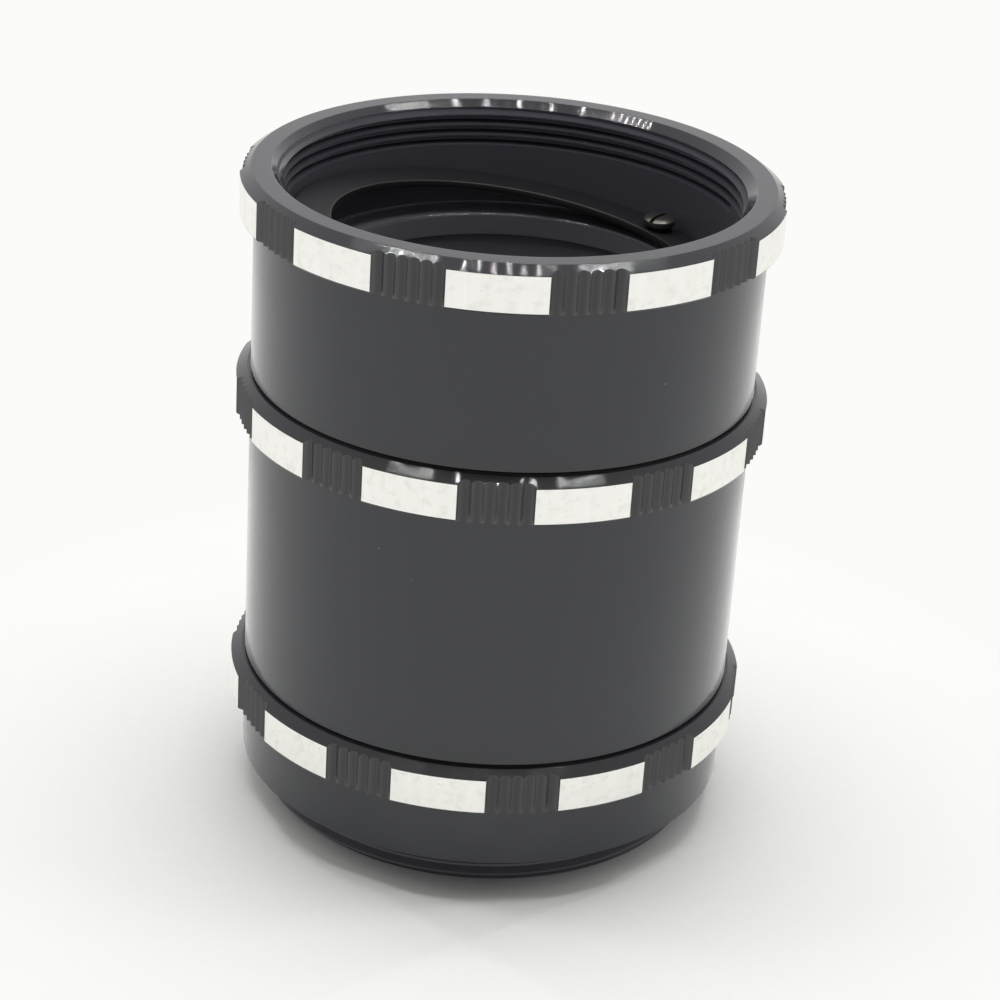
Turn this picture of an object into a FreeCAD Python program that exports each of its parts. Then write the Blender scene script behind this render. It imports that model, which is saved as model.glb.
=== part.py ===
import FreeCAD, Part
import math
import os

# Set of three stacking extension tubes with a screw mount at each end.
# Millimetres, +Z up. The set stands on its rear thread, with the lens end on top.
# The origin is the middle of the rear thread's end face, and the push pins stand on the -X side.

# Tube lengths, from the rear shoulder of a tube to its front face
LONG_LENGTH = 28.5
MEDIUM_LENGTH = 19.0

# Relay seat: its depth below every front face, and its height above the short tube's shoulder
SEAT_DEPTH = 9.9
SHORT_SEAT_HEIGHT = 0.4

# Angle of the middle of one grip pad on each tube, from +X
SHORT_GRIP_ANGLE = -113.0
LONG_GRIP_ANGLE = -122.5
MEDIUM_GRIP_ANGLE = -106.8

# Screw mount
THREAD_RADIUS = 21.0
THREAD_HEIGHT = 0.6
THREAD_CLEARANCE = 0.05
FEMALE_DEPTH = 4.0
NOSE_LENGTH = 3.0
MOUTH_CHAMFER = 0.5

# Barrel wall, outside the thread
BARREL_WALL = 2.0

# Grip band
GRIP_STEP = 1.3
PAD_HEIGHT = 3.5
PAD_COUNT = 10
PAD_ANGLE = 20.2
FLUTES_PER_GAP = 6
RIDGE_DROP = 0.2
FLUTE_DEPTH = 0.3
RIM_CHAMFER_WIDTH = 1.0
RIM_CHAMFER_HEIGHT = 0.68

# Rocking relay ring
RELAY_WIDTH = 3.5
RELAY_THICKNESS = 0.8
RELAY_BORE_CLEARANCE = 0.4
RELAY_LIGHT_OVERLAP = 0.3
HEEL_CUT = 0.8

# Push pin
PIN_RADIUS = 0.9
PIN_FIT = 0.05
PIN_LIFT = 4.8
PIN_TRAVEL = 3.0
PIN_STOP_CLEARANCE = 0.05
PIN_CONTACT_GAP = 0.1
PIN_HEAD_RADIUS = 1.3
PIN_RECESS = 0.1

# Pivot screws at the heel of the relay ring
PIVOT_ANGLE = 26.0
SCREW_RADIUS = 0.7
SCREW_HEAD_RADIUS = 1.5
SCREW_HEAD_HEIGHT = 0.8
SCREW_HOLD = 1.8
SCREW_HOLE_FIT = 0.02
PIVOT_HOLE_CLEARANCE = 0.45
PIVOT_HEAD_CLEARANCE = 0.35

# The short tube is only as long as its relay needs
SHORT_LENGTH = SEAT_DEPTH + SHORT_SEAT_HEIGHT

# Radii that follow from the screw mount, from the outside to the light path
FEMALE_RADIUS = THREAD_RADIUS + THREAD_CLEARANCE
NOSE_RADIUS = THREAD_RADIUS - THREAD_HEIGHT - THREAD_CLEARANCE
BORE_RADIUS = THREAD_RADIUS - THREAD_HEIGHT
BARREL_RADIUS = THREAD_RADIUS + BARREL_WALL
GRIP_RADIUS = BARREL_RADIUS + GRIP_STEP
RELAY_OUTER = BORE_RADIUS - RELAY_BORE_CLEARANCE
RELAY_INNER = RELAY_OUTER - RELAY_WIDTH
LIGHT_RADIUS = RELAY_INNER + RELAY_LIGHT_OVERLAP

# Relay ring: it rocks on a straight heel, and the push pin lifts the far side
HEEL_X = RELAY_OUTER - HEEL_CUT
PIN_CIRCLE = (LIGHT_RADIUS + NOSE_RADIUS) / 2
RELAY_TILT = math.degrees(math.atan(PIN_LIFT / (HEEL_X + PIN_CIRCLE)))
RELAY_SLOPE = math.tan(math.radians(RELAY_TILT))
RELAY_RISE = RELAY_THICKNESS / math.cos(math.radians(RELAY_TILT))

# Pivot screws: the head clears the tilted ring below it
PIVOT_CIRCLE = (RELAY_INNER + RELAY_OUTER) / 2
PIVOT_X = PIVOT_CIRCLE * math.cos(math.radians(PIVOT_ANGLE))
PIVOT_Y = PIVOT_CIRCLE * math.sin(math.radians(PIVOT_ANGLE))
PIVOT_LIFT = (HEEL_X - PIVOT_X + SCREW_HEAD_RADIUS) * RELAY_SLOPE
SCREW_HEAD_Z = RELAY_RISE + PIVOT_LIFT + PIVOT_HEAD_CLEARANCE

# Height of the grip band, with the chamfer above its pads
BAND_HEIGHT = PAD_HEIGHT + RIM_CHAMFER_HEIGHT

# Depth of a raised relay ring below the front face, where the next tube's pin meets it
RELAY_MEET_DEPTH = SEAT_DEPTH - PIN_LIFT - RELAY_RISE

AXIS_Z = FreeCAD.Vector(0, 0, 1)
ORIGIN = FreeCAD.Vector(0, 0, 0)


def turned(profile):
    """Solid of revolution about Z from (radius, height) corners."""
    corners = [FreeCAD.Vector(radius, 0, height) for radius, height in profile]
    outline = Part.makePolygon(corners + corners[:1])
    return Part.Face(outline).revolve(ORIGIN, AXIS_Z, 360)


def polar(radius, angle, height):
    """Point at an angle in degrees from +X."""
    turn = math.radians(angle)
    return FreeCAD.Vector(radius * math.cos(turn), radius * math.sin(turn), height)


def grip_outline(first_angle, height):
    """Closed outline of the grip: round pads, with a run of sharp flutes in each gap."""
    pitch = 360 / PAD_COUNT
    flute_angle = (pitch - PAD_ANGLE) / FLUTES_PER_GAP
    ridge_radius = GRIP_RADIUS - RIDGE_DROP
    edges = []
    for pad in range(PAD_COUNT):
        middle = first_angle + pad * pitch
        pad_start = polar(GRIP_RADIUS, middle - PAD_ANGLE / 2, height)
        pad_end = polar(GRIP_RADIUS, middle + PAD_ANGLE / 2, height)
        edges.append(Part.Arc(pad_start, polar(GRIP_RADIUS, middle, height), pad_end).toShape())
        corners = [pad_end]
        for step in range(2 * FLUTES_PER_GAP + 1):
            radius = ridge_radius - FLUTE_DEPTH * (step % 2)
            corners.append(polar(radius, middle + PAD_ANGLE / 2 + step * flute_angle / 2, height))
        corners.append(polar(GRIP_RADIUS, middle + pitch - PAD_ANGLE / 2, height))
        edges.extend(Part.makePolygon(corners).Edges)
    return Part.Wire(edges)


def grip_band(face_z, grip_angle):
    """Fluted band with a turned chamfer round its front rim, still solid inside."""
    bottom_z = face_z - BAND_HEIGHT
    blank = Part.Face(grip_outline(grip_angle, bottom_z)).extrude(AXIS_Z * BAND_HEIGHT)
    past = GRIP_STEP
    slope = RIM_CHAMFER_HEIGHT / RIM_CHAMFER_WIDTH
    chamfer = turned([
        (GRIP_RADIUS - RIM_CHAMFER_WIDTH, face_z),
        (GRIP_RADIUS + past, face_z - RIM_CHAMFER_HEIGHT - past * slope),
        (GRIP_RADIUS + past, face_z + past),
        (GRIP_RADIUS - RIM_CHAMFER_WIDTH, face_z + past),
    ])
    return blank.cut(chamfer)


def barrel(base_z, length, grip_angle):
    """One turned tube: rear thread nose, barrel, grip band and the bores."""
    face_z = base_z + length
    seat_z = face_z - SEAT_DEPTH
    nose_z = base_z - NOSE_LENGTH
    band_z = face_z - BAND_HEIGHT
    body = turned([
        (0, nose_z),
        (NOSE_RADIUS, nose_z),
        (NOSE_RADIUS, base_z),
        (BARREL_RADIUS, base_z),
        (BARREL_RADIUS, band_z),
        (0, band_z),
    ])
    bores = turned([
        (0, nose_z - NOSE_LENGTH),
        (LIGHT_RADIUS, nose_z - NOSE_LENGTH),
        (LIGHT_RADIUS, seat_z),
        (BORE_RADIUS, seat_z),
        (BORE_RADIUS, face_z - FEMALE_DEPTH),
        (FEMALE_RADIUS, face_z - FEMALE_DEPTH),
        (FEMALE_RADIUS, face_z - MOUTH_CHAMFER),
        (FEMALE_RADIUS + 2 * MOUTH_CHAMFER, face_z + MOUTH_CHAMFER),
        (0, face_z + MOUTH_CHAMFER),
    ])
    drilled = [pin_hole(nose_z, seat_z)] + screw_holes(seat_z)
    return body.fuse(grip_band(face_z, grip_angle)).removeSplitter().cut([bores] + drilled)


def pin_hole(nose_z, seat_z):
    """Drill for the push pin, through the wall from the nose to the seat."""
    start = FreeCAD.Vector(-PIN_CIRCLE, 0, nose_z - NOSE_LENGTH)
    return Part.makeCylinder(PIN_RADIUS + PIN_FIT, seat_z - nose_z + 2 * NOSE_LENGTH, start)


def screw_holes(seat_z):
    """Two tapped holes below the heel of the relay ring."""
    depth = SCREW_HOLD + SCREW_HOLE_FIT
    radius = SCREW_RADIUS + SCREW_HOLE_FIT
    spots = [FreeCAD.Vector(PIVOT_X, side * PIVOT_Y, seat_z - depth) for side in (-1, 1)]
    return [Part.makeCylinder(radius, depth + SCREW_HOLD, spot) for spot in spots]


def tilted(shape, seat_z):
    """Lift a piece that lies flat on the seat as the push pin does, about the heel's lower edge."""
    return shape.rotated(FreeCAD.Vector(HEEL_X, 0, seat_z), FreeCAD.Vector(0, 1, 0), RELAY_TILT)


def relay_ring(seat_z):
    """Flat ring with a straight heel and two holes for the pivot screws."""
    top_z = seat_z + RELAY_THICKNESS
    ring = turned([(RELAY_INNER, seat_z), (RELAY_OUTER, seat_z), (RELAY_OUTER, top_z), (RELAY_INNER, top_z)])
    heel_start = FreeCAD.Vector(HEEL_X, -RELAY_OUTER, seat_z)
    heel = Part.makeBox(2 * HEEL_CUT, 2 * RELAY_OUTER, RELAY_THICKNESS, heel_start)
    spots = [FreeCAD.Vector(PIVOT_X, side * PIVOT_Y, seat_z) for side in (-1, 1)]
    holes = [Part.makeCylinder(SCREW_RADIUS + PIVOT_HOLE_CLEARANCE, RELAY_THICKNESS, spot) for spot in spots]
    return tilted(ring.cut([heel] + holes), seat_z)


def pivot_screws(seat_z):
    """Two shouldered screws that keep the heel on its seat."""
    head_z = seat_z + SCREW_HEAD_Z
    screw = turned([
        (0, seat_z - SCREW_HOLD),
        (SCREW_RADIUS, seat_z - SCREW_HOLD),
        (SCREW_RADIUS, head_z),
        (SCREW_HEAD_RADIUS, head_z),
        (SCREW_HEAD_RADIUS, head_z + SCREW_HEAD_HEIGHT),
        (0, head_z + SCREW_HEAD_HEIGHT),
    ])
    pair = [screw.translated(FreeCAD.Vector(PIVOT_X, side * PIVOT_Y, 0)) for side in (-1, 1)]
    return Part.makeCompound(pair)


def push_pin(tip_z, seat_z):
    """Headed pin that lifts the relay ring. Its head is the stop that lands on the seat."""
    head_z = seat_z + PIN_TRAVEL + PIN_STOP_CLEARANCE
    top_z = seat_z + PIN_LIFT - PIN_HEAD_RADIUS * RELAY_SLOPE - PIN_CONTACT_GAP
    pin = turned([
        (0, tip_z),
        (PIN_RADIUS, tip_z),
        (PIN_RADIUS, head_z),
        (PIN_HEAD_RADIUS, head_z),
        (PIN_HEAD_RADIUS, top_z),
        (0, top_z),
    ])
    return pin.translated(FreeCAD.Vector(-PIN_CIRCLE, 0, 0))


def save(shape, node):
    """Write one piece to its own file."""
    shape.exportStep("parts/" + node + ".step")
    print(node, "solids", len(shape.Solids), "valid", shape.isValid(), "volume", round(shape.Volume, 2))


def main():
    os.makedirs("parts", exist_ok=True)
    tubes = (
        ("short", SHORT_LENGTH, SHORT_GRIP_ANGLE),
        ("long", LONG_LENGTH, LONG_GRIP_ANGLE),
        ("medium", MEDIUM_LENGTH, MEDIUM_GRIP_ANGLE),
    )
    base_z = NOSE_LENGTH
    tip_z = PIN_RECESS
    for name, length, grip_angle in tubes:
        face_z = base_z + length
        seat_z = face_z - SEAT_DEPTH
        save(barrel(base_z, length, grip_angle), name + "_barrel")
        save(relay_ring(seat_z), name + "_relay_ring")
        save(pivot_screws(seat_z), name + "_pivot_screws")
        save(push_pin(tip_z, seat_z), name + "_push_pin")
        base_z = face_z
        tip_z = face_z - RELAY_MEET_DEPTH + PIN_RADIUS * RELAY_SLOPE + PIN_CONTACT_GAP


main()
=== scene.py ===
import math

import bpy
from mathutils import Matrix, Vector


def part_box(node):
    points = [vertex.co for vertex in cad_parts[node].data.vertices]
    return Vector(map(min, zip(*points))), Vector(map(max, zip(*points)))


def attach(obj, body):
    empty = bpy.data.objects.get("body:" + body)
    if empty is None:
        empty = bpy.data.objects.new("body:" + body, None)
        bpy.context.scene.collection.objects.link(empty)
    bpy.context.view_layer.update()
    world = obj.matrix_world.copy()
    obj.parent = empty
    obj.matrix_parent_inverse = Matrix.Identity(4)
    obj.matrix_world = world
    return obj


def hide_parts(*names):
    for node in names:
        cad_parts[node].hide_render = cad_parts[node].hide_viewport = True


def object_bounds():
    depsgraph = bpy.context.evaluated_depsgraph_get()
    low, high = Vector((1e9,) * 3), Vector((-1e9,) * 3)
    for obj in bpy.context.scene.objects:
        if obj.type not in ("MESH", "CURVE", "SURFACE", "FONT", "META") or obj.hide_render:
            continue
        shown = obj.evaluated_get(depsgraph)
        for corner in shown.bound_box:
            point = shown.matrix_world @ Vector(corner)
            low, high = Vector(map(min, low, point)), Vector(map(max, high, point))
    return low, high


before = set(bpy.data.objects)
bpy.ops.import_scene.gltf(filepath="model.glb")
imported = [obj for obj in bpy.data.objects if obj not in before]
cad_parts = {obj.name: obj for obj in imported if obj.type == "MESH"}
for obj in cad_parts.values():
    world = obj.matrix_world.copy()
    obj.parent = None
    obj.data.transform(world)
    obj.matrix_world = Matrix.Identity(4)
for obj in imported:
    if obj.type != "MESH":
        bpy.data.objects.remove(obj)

# %% [markdown]
# A set of three macro extension tubes, screwed into one stack. Each tube is one turned piece of
# aluminium with a threaded nose, a threaded mouth and a grip band of bright pads and black flutes.
# Inside sits a small relay: a push pin lifts a rocking ring, and the ring lifts the next pin.
# The construction is loaded above as a fixed frame in metres. It gives every place below.
# Sizes in this file are written in millimetres, and MM turns them into metres.

cad_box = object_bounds()
MM = 0.001
TUBES = ("short", "long", "medium")
TOP_TUBE = "medium"


def frame_heights(tube):
    """Height of a tube's nose end and of its front face, in millimetres."""
    low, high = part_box(tube + "_barrel")
    return low.z / MM, high.z / MM


for tube in TUBES:
    print(tube, "tube: nose end and front face at", [round(height, 2) for height in frame_heights(tube)])

# %% [markdown]
# The camera comes first, because every later choice is judged through it. It was fitted to the edges
# of the three rings in the photograph, which looks down on the stack by about 25 degrees through a
# long lens. The camera was held a little tilted, which makes the stack seem to lean. Three angles
# could turn it, but three axes that are worked out one by one are easier to trust.

# %% Camera
VIEW_TURN = math.radians(-15)
VIEW_ELEVATION = math.radians(25.305)
VIEW_ROLL = math.radians(3.678)
VIEW_DISTANCE = 252.8
AIM_HEIGHT = 33.39
AIM_RIGHT = 0.52
AIM_UP = -4.36
FOCAL_LENGTH = 97.95
SENSOR_WIDTH = 36
NEAREST_SEEN = 10

turn = Matrix.Rotation(VIEW_TURN, 3, "Z")
view_right = turn @ Vector((1, 0, 0))
view_back = turn @ Vector((0, -math.cos(VIEW_ELEVATION), math.sin(VIEW_ELEVATION)))
view_up = turn @ Vector((0, math.sin(VIEW_ELEVATION), math.cos(VIEW_ELEVATION)))
aim = Vector((0, 0, AIM_HEIGHT)) + AIM_RIGHT * view_right + AIM_UP * view_up
rolled_right = math.cos(VIEW_ROLL) * view_right + math.sin(VIEW_ROLL) * view_up
rolled_up = math.cos(VIEW_ROLL) * view_up - math.sin(VIEW_ROLL) * view_right

bpy.ops.object.camera_add()
camera = bpy.context.object
camera.name = "photo_camera"
camera.data.lens = FOCAL_LENGTH
camera.data.sensor_width = SENSOR_WIDTH
camera.data.clip_start = NEAREST_SEEN * MM
axes = Matrix((rolled_right, rolled_up, view_back)).transposed()
camera.matrix_world = Matrix.Translation((aim + VIEW_DISTANCE * view_back) * MM) @ axes.to_4x4()
bpy.context.scene.camera = camera
print("camera at", [round(value, 4) for value in camera.matrix_world.translation])

# %% [markdown]
# Every material below is a small network of nodes. One function adds a node with its settings and
# links, and one turns a colour written as sRGB hex into the linear values that Blender works with.

# %% Colour and node helpers
# A colour Mix node takes its two colours at sockets 6 and 7 and gives its result at output 2
COLOUR_A = 6
COLOUR_B = 7
COLOUR_OUT = 2


def linear(code):
    """Linear RGBA of an sRGB colour written as six hex digits."""
    channels = [int(code[start:start + 2], 16) / 255 for start in (0, 2, 4)]
    return [c / 12.92 if c <= 0.04045 else ((c + 0.055) / 1.055) ** 2.4 for c in channels] + [1]


def add_node(tree, kind, links, values, **properties):
    """Add a node with its properties. Links and values go to its sockets, by name or number."""
    node = tree.nodes.new(kind)
    for name, value in properties.items():
        setattr(node, name, value)
    for socket, source in links.items():
        tree.links.new(source, node.inputs[socket])
    for socket, value in values.items():
        node.inputs[socket].default_value = value
    return node


def new_material(name):
    """An empty material with its shader and output joined, ready for nodes."""
    material = bpy.data.materials.new(name)
    material.use_nodes = True
    tree = material.node_tree
    return material, tree, tree.nodes["Principled BSDF"]


print("sRGB grey 808080 is", round(linear("808080")[0], 3), "in linear light")

# %% [markdown]
# The set stands on a pale sweep of paper. Near the stack the paper is lit and keeps the soft shadow.
# Further off it turns into plain white for the camera and for reflections, like the far end of a
# studio sweep, so that the background needs no extra light. One flat colour would do for the far
# end, but near the stack a faint grain keeps the sheet from looking like plastic.

# %% Coated paper
# Coated paper looks almost white and matt, with very little gloss. Its fibres are much finer than
# this grain, which is drawn as coarse as it needs to show.
FLOOR_HEX = "f6f6f3"
FIBRE_HEX = "f1f1ee"
SWEEP_HEX = "fbfbf9"
PAPER_GRAIN = 0.9
PAPER_ROUGHNESS = 0.7
PAPER_GLOSS = 0.2
SWEEP_STARTS = 24
SWEEP_FULL = 64


def background_rays(tree):
    """Factor that is one where the camera, a reflection or a view through glass meets the background."""
    rays = add_node(tree, "ShaderNodeLightPath", {}, {})
    direct = {0: rays.outputs["Is Camera Ray"], 1: rays.outputs["Is Glossy Ray"]}
    direct = add_node(tree, "ShaderNodeMath", direct, {}, operation="MAXIMUM")
    every = {0: direct.outputs["Value"], 1: rays.outputs["Is Transmission Ray"]}
    return add_node(tree, "ShaderNodeMath", every, {}, operation="MAXIMUM")


paper, tree, shader = new_material("pale_coated_paper")
coords = add_node(tree, "ShaderNodeTexCoord", {}, {})
grain = {"Scale": 1 / (PAPER_GRAIN * MM)}
fibres = add_node(tree, "ShaderNodeTexNoise", {"Vector": coords.outputs["Object"]}, grain)
tints = {COLOUR_A: linear(FLOOR_HEX), COLOUR_B: linear(FIBRE_HEX)}
tint = add_node(tree, "ShaderNodeMix", {0: fibres.outputs["Fac"]}, tints, data_type="RGBA")
tree.links.new(tint.outputs[COLOUR_OUT], shader.inputs["Base Color"])
shader.inputs["Roughness"].default_value = PAPER_ROUGHNESS
shader.inputs["Specular IOR Level"].default_value = PAPER_GLOSS
reach = add_node(tree, "ShaderNodeVectorMath", {0: coords.outputs["Object"]}, {}, operation="LENGTH")
stretch = {"From Min": SWEEP_STARTS * MM, "From Max": SWEEP_FULL * MM}
far = add_node(tree, "ShaderNodeMapRange", {"Value": reach.outputs["Value"]}, stretch)
seen = background_rays(tree)
share = {0: far.outputs["Result"], 1: seen.outputs["Value"]}
share = add_node(tree, "ShaderNodeMath", share, {}, operation="MULTIPLY")
glow = add_node(tree, "ShaderNodeEmission", {}, {"Color": linear(SWEEP_HEX), "Strength": 1})
sweep = {0: share.outputs["Value"], 1: shader.outputs["BSDF"], 2: glow.outputs["Emission"]}
sweep = add_node(tree, "ShaderNodeMixShader", sweep, {})
tree.links.new(sweep.outputs["Shader"], tree.nodes["Material Output"].inputs["Surface"])
print("paper is plain white from", SWEEP_FULL, "mm on")

# %% Floor
FLOOR_SIZE = 3000

bpy.ops.object.select_all(action="DESELECT")
bpy.ops.mesh.primitive_plane_add(size=FLOOR_SIZE * MM, location=(0, 0, cad_box[0][2]))
floor = bpy.context.object
floor.name = "paper_floor"
floor.data.materials.append(paper)
print("floor", FLOOR_SIZE, "mm wide")

# %% [markdown]
# Most of the light comes from a white tent round the stack. Its open front is dark, which is why the
# shadow is deepest right before the stack. The tent could be a large mesh that glows, but a world
# whose colour changes with the direction gives the same light with less noise. The camera sees the
# tone of the sweep instead, and reflections see plain white, both at a strength of one.

# %% White tent
TENT_HEX = "ffffff"
TENT_OPEN_HEX = "595959"
TENT_GLOW = 1.45
# Cosine of the angle to the front, where the dark opening starts and where it is full
OPEN_STARTS = 0.0
OPEN_FULL = 0.1

world = bpy.data.worlds.new("pale_tent")
bpy.context.scene.world = world
world.use_nodes = True
tree = world.node_tree
direction = add_node(tree, "ShaderNodeTexCoord", {}, {})
front = turn @ Vector((0, -1, 0))
ahead = {0: direction.outputs["Generated"]}
ahead = add_node(tree, "ShaderNodeVectorMath", ahead, {1: front}, operation="DOT_PRODUCT")
opening = {"From Min": OPEN_STARTS, "From Max": OPEN_FULL}
opening = add_node(tree, "ShaderNodeMapRange", {"Value": ahead.outputs["Value"]}, opening)
tones = {COLOUR_A: linear(TENT_HEX), COLOUR_B: linear(TENT_OPEN_HEX)}
lit = add_node(tree, "ShaderNodeMix", {0: opening.outputs["Result"]}, tones, data_type="RGBA")
rays = add_node(tree, "ShaderNodeLightPath", {}, {})
tones = {COLOUR_A: linear(TENT_HEX), COLOUR_B: linear(SWEEP_HEX)}
seen = add_node(tree, "ShaderNodeMix", {0: rays.outputs["Is Camera Ray"]}, tones, data_type="RGBA")
glow = add_node(tree, "ShaderNodeBackground", {"Color": lit.outputs[COLOUR_OUT]}, {"Strength": TENT_GLOW})
view = add_node(tree, "ShaderNodeBackground", {"Color": seen.outputs[COLOUR_OUT]}, {"Strength": 1})
looks = background_rays(tree)
sky = {0: looks.outputs["Value"], 1: glow.outputs["Background"], 2: view.outputs["Background"]}
sky = add_node(tree, "ShaderNodeMixShader", sky, {})
tree.links.new(sky.outputs["Shader"], tree.nodes["World Output"].inputs["Surface"])
bpy.context.scene.view_settings.view_transform = "Standard"
print("tent glows at", TENT_GLOW, "with its opening towards", [round(value, 2) for value in front])

# %% [markdown]
# The rest of the light comes from small lamps above the stack, in two bowed rows. In the middle of a
# row they stand apart, and at both ends they stand close. Each lamp draws its own short streak
# across the turned chamfers, which one large lamp could not do.

# %% Rows of small lamps
SINGLE_LAMPS = 7
# How far forward a row hangs, how far apart its single lamps are, and its close lamps at both ends
LAMP_ROWS = (
    {"forward": 27.5, "spacing": 7.1, "close_from": 35, "close_spacing": 2.8, "close_count": 9},
    {"forward": 8, "spacing": 15.5, "close_from": 51, "close_spacing": 3.5, "close_count": 6},
)
LAMP_BOW_RADIUS = 72
LAMP_DIAMETER = 0.8
LAMP_HEIGHT = 168
LAMP_WATTS = 0.003


def lamp_spots(row):
    """Places of one bowed row of lamps: single ones in the middle, close ones at both ends."""
    across = [(number - (SINGLE_LAMPS - 1) / 2) * row["spacing"] for number in range(SINGLE_LAMPS)]
    close = [row["close_from"] + number * row["close_spacing"] for number in range(row["close_count"])]
    across += close + [-reach for reach in close]
    return [(x, x ** 2 / (2 * LAMP_BOW_RADIUS) - row["forward"], LAMP_HEIGHT) for x in across]


lamp_places = [spot for row in LAMP_ROWS for spot in lamp_spots(row)]
for number, spot in enumerate(lamp_places):
    bpy.ops.object.light_add(type="AREA", location=turn @ Vector(spot) * MM)
    lamp = bpy.context.object
    lamp.name = "small_lamp_%02d" % number
    lamp.data.shape = "DISK"
    lamp.data.size = LAMP_DIAMETER * MM
    lamp.data.energy = LAMP_WATTS
print(len(lamp_places), "lamps at a height of", LAMP_HEIGHT, "mm")

# %% [markdown]
# The barrels are aluminium that was turned on a lathe, bead blasted and anodised black. The dye
# leaves a very dark grey, and the clear oxide skin reflects like glass, which is why the barrel is
# dark in front and turns pale towards its edges. A turned surface carries rings, so the fine marks
# below depend only on the distance from the axis and on the height. One function makes every black
# finish of the set, because they differ mostly in their base tone, their roughness and their rings.
# On the bore, the light path, the nose and the thread this base tone also holds painted light and
# shade, as said where each finish is made.

# %% Black anodised skin
# Fine turning leaves rings well under 0.1 mm apart, and most dust is finer than these specks. Both
# are drawn as coarse as they need to show.
OXIDE_IOR = 1.6
TURNING_PITCH = 0.16
TURNING_DETAIL = 2
BLOTCH_SIZE = 9.0
BLOTCH_DETAIL = 4
DUST_SPACING = 3.4
DUST_RADIUS = 0.07
DUST_HEX = "8f8f8f"
ROUGHNESS_SPREAD = 0.02


def ring_coordinates(tree, coords):
    """Distance from the axis and height, as a vector: a pattern on it runs in rings."""
    parts = add_node(tree, "ShaderNodeSeparateXYZ", {"Vector": coords.outputs["Object"]}, {})
    across = {"X": parts.outputs["X"], "Y": parts.outputs["Y"]}
    flat = add_node(tree, "ShaderNodeCombineXYZ", across, {})
    reach = add_node(tree, "ShaderNodeVectorMath", {0: flat.outputs["Vector"]}, {}, operation="LENGTH")
    rings = {"X": reach.outputs["Value"], "Y": parts.outputs["Z"]}
    return add_node(tree, "ShaderNodeCombineXYZ", rings, {}).outputs["Vector"]


def specks(tree, coords, spacing, radius):
    """Factor that is one on scattered round specks and zero elsewhere."""
    scale = {"Scale": 1 / (spacing * MM)}
    cells = add_node(tree, "ShaderNodeTexVoronoi", {"Vector": coords.outputs["Object"]}, scale)
    share = {1: radius / spacing}
    speck = add_node(tree, "ShaderNodeMath", {0: cells.outputs["Distance"]}, share, operation="LESS_THAN")
    return speck.outputs["Value"]


def black_anodised(name, base_hex, blotch_hex, roughness, turning_depth):
    """Black anodised aluminium: a base tone under a clear skin, with turning rings, blotches and dust. The
    base tone is the dark dye, and for some finishes it is made paler or darker as painted light and shade.
    """
    material, tree, shader = new_material(name)
    shader.inputs["IOR"].default_value = OXIDE_IOR
    coords = add_node(tree, "ShaderNodeTexCoord", {}, {})
    size = {"Scale": 1 / (BLOTCH_SIZE * MM), "Detail": BLOTCH_DETAIL}
    blotch = add_node(tree, "ShaderNodeTexNoise", {"Vector": coords.outputs["Object"]}, size)
    base_tones = {COLOUR_A: linear(base_hex), COLOUR_B: linear(blotch_hex)}
    colour = add_node(tree, "ShaderNodeMix", {0: blotch.outputs["Fac"]}, base_tones, data_type="RGBA")
    dust = {0: specks(tree, coords, DUST_SPACING, DUST_RADIUS), COLOUR_A: colour.outputs[COLOUR_OUT]}
    dusted = add_node(tree, "ShaderNodeMix", dust, {COLOUR_B: linear(DUST_HEX)}, data_type="RGBA")
    tree.links.new(dusted.outputs[COLOUR_OUT], shader.inputs["Base Color"])
    pitch = {"Scale": 1 / (TURNING_PITCH * MM), "Detail": TURNING_DETAIL}
    rings = {"Vector": ring_coordinates(tree, coords)}
    marks = add_node(tree, "ShaderNodeTexNoise", rings, pitch, noise_dimensions="2D")
    limits = {"To Min": roughness - ROUGHNESS_SPREAD, "To Max": roughness + ROUGHNESS_SPREAD}
    spread = add_node(tree, "ShaderNodeMapRange", {"Value": marks.outputs["Fac"]}, limits)
    tree.links.new(spread.outputs["Result"], shader.inputs["Roughness"])
    depth = {"Distance": turning_depth * MM}
    relief = add_node(tree, "ShaderNodeBump", {"Height": marks.outputs["Fac"]}, depth)
    tree.links.new(relief.outputs["Normal"], shader.inputs["Normal"])
    return material


print("turning rings every", TURNING_PITCH, "mm and a speck of dust about every", DUST_SPACING, "mm")

# %% [markdown]
# Two of the black finishes need more. The rims are grooved so finely that light is drawn out across
# the grooves into streaks. Streaks could be painted on, but they would stay in place as the part
# turns, so the shader's anisotropy makes them. On the flutes the ridges are drawn a lighter grey:
# partly thinner dye where hands rub them, and partly a painted highlight where light catches them.
# A ridge is known by its distance from the axis.

# %% Streaked rims and rubbed ridges
RIM_STRETCH = 1.0
QUARTER_TURN = 0.25
RIDGE_RADIUS = 24.06
RIDGE_FADE = 0.28
# The grey of the ridges is partly rubbed dye and partly a painted highlight
RIDGE_WEAR_AND_HIGHLIGHT_HEX = "565658"


def comb(material):
    """Stretch the highlights across the turning rings, as a finely grooved face does."""
    tree = material.node_tree
    shader = tree.nodes["Principled BSDF"]
    shader.inputs["Anisotropic"].default_value = RIM_STRETCH
    shader.inputs["Anisotropic Rotation"].default_value = QUARTER_TURN
    along = add_node(tree, "ShaderNodeTangent", {}, {}, direction_type="RADIAL", axis="Z")
    tree.links.new(along.outputs["Tangent"], shader.inputs["Tangent"])


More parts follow.
